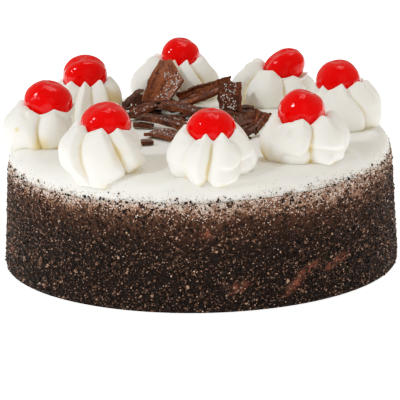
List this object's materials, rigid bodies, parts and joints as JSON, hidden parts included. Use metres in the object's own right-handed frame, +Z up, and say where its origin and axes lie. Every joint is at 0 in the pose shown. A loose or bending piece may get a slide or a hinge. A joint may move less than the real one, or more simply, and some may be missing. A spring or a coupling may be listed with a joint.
{
  "type": "black forest cake",
  "caption": "Round whole cake with a chocolate-crumbed side, a smooth cream top, a ring of piped cream rosettes each holding a red cherry, and chocolate shavings in the middle.",
  "frame": {"origin": "centre of the cake's flat underside", "axes": "+Z up out of the cake's top, -Y towards the front of the cake, +X to the right seen from the front"},
  "size_m": [0.1817, 0.1816, 0.0893],
  "materials": {
    "crumb_coat": "matt dark chocolate cake crumbs pressed into cream",
    "whipped_cream": "soft satin white whipped cream with faint yellow creases",
    "cherry_glaze": "glossy translucent bright red glazed cherry",
    "chocolate": "scraped dark chocolate with fine striations and small water beads"
  },
  "bodies": {
    "root": {"cake": "crumb_coat", "cream_top": "whipped_cream", "rosette_1": "whipped_cream", "rosette_2": "whipped_cream", "rosette_3": "whipped_cream", "rosette_4": "whipped_cream", "rosette_5": "whipped_cream", "rosette_6": "whipped_cream", "rosette_7": "whipped_cream", "rosette_8": "whipped_cream", "cherry_1": "cherry_glaze", "cherry_2": "cherry_glaze", "cherry_3": "cherry_glaze", "cherry_4": "cherry_glaze", "cherry_5": "cherry_glaze", "cherry_6": "cherry_glaze", "cherry_7": "cherry_glaze", "cherry_8": "cherry_glaze", "chocolate_sail": "chocolate", "chocolate_plank": "chocolate", "chocolate_square": "chocolate", "chocolate_flake_1": "chocolate", "chocolate_rod": "chocolate", "chocolate_curl": "chocolate", "chocolate_flake_2": "chocolate", "chocolate_stick_1": "chocolate", "chocolate_chip_1": "chocolate", "chocolate_stick_2": "chocolate", "chocolate_stick_3": "chocolate", "chocolate_stick_4": "chocolate", "chocolate_chip_2": "chocolate", "chocolate_chip_3": "chocolate"}
  },
  "joints": []
}
